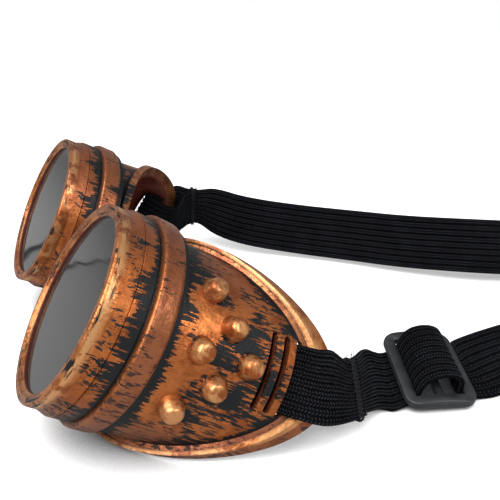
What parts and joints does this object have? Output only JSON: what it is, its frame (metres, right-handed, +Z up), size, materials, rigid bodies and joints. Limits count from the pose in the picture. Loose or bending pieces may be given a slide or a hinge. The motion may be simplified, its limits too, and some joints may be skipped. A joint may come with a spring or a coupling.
{
  "type": "aviator goggles",
  "caption": "Cup-style flying goggles with round screw-on lens rings, studded oblique eye cups, flexible nose bridge and knitted elastic head strap with a slide buckle.",
  "frame": {"origin": "Middle of the bounding box in plan, on the surface that the goggles lie on.", "axes": "+Z up; the lenses face -Y and a little upwards, the strap lies behind the cups towards +Y; +X is the wearer's left side."},
  "size_m": [0.1752, 0.2684, 0.0699],
  "materials": {
    "cup_shell": "black moulded plastic dry-brushed with antique copper paint, streaks of black left in the hollows",
    "ring_shell": "black moulded plastic dry-brushed with antique copper paint, rubbed bright on the lip",
    "smoke_lens": "dark smoke tinted, polished",
    "seal_rubber": "soft black sealing washer",
    "bridge_rubber": "matte black flexible strip",
    "elastic_knit": "ribbed knitted elastic webbing, black with a blue cast",
    "sewing_thread": "black polyester sewing thread",
    "buckle_plastic": "matte dark grey moulded plastic"
  },
  "bodies": {
    "left_cup": {"left_cup": "cup_shell", "left_lens_gasket": "seal_rubber", "nose_bridge": "bridge_rubber", "strap": "elastic_knit", "left_strap_stitch": "sewing_thread"},
    "right_cup": {"right_cup": "cup_shell", "right_lens_gasket": "seal_rubber", "right_strap_stitch": "sewing_thread"},
    "left_lens": {"left_lens": "smoke_lens"},
    "left_ring": {"left_lens_ring": "ring_shell"},
    "right_lens": {"right_lens": "smoke_lens"},
    "right_ring": {"right_lens_ring": "ring_shell"},
    "buckle": {"buckle": "buckle_plastic"}
  },
  "joints": [
    {"name": "nose_fold", "type": "hinge", "parent": "left_cup", "child": "right_cup", "pos_m": [-0.00419, -0.10211, 0.03399], "axis": [-0.0981, 0.531, 0.8417], "range_deg": [-40, 40], "stiffness_Nm_per_rad": 0.12, "deforming": ["strap", "nose_bridge"]},
    {"name": "left_lens_travel", "type": "slide", "parent": "left_cup", "child": "left_lens", "axis": [-0.0401, -0.822, 0.5681], "range_m": [0, 0.006]},
    {"name": "left_ring_turn", "type": "hinge", "parent": "left_lens", "child": "left_ring", "pos_m": [0.0359, -0.11754, 0.0428], "axis": [-0.0401, -0.822, 0.5681], "range_deg": [0, 1080]},
    {"name": "right_lens_travel", "type": "slide", "parent": "right_cup", "child": "right_lens", "axis": [0.0314, -0.877, 0.4795], "range_m": [0, 0.006]},
    {"name": "right_ring_turn", "type": "hinge", "parent": "right_lens", "child": "right_ring", "pos_m": [-0.04442, -0.11732, 0.04406], "axis": [0.0314, -0.877, 0.4795], "range_deg": [0, 1080]},
    {"name": "buckle_slide", "type": "slide", "parent": "left_cup", "child": "buckle", "axis": [0.3143, 0.9487, -0.0344], "range_m": [-0.008, 0.008], "deforming": ["strap"]}
  ],
  "couplings": [
    {"joint": "left_ring_turn", "follows": "left_lens_travel", "rad_per_m": 3141.6},
    {"joint": "right_ring_turn", "follows": "right_lens_travel", "rad_per_m": 3141.6}
  ]
}
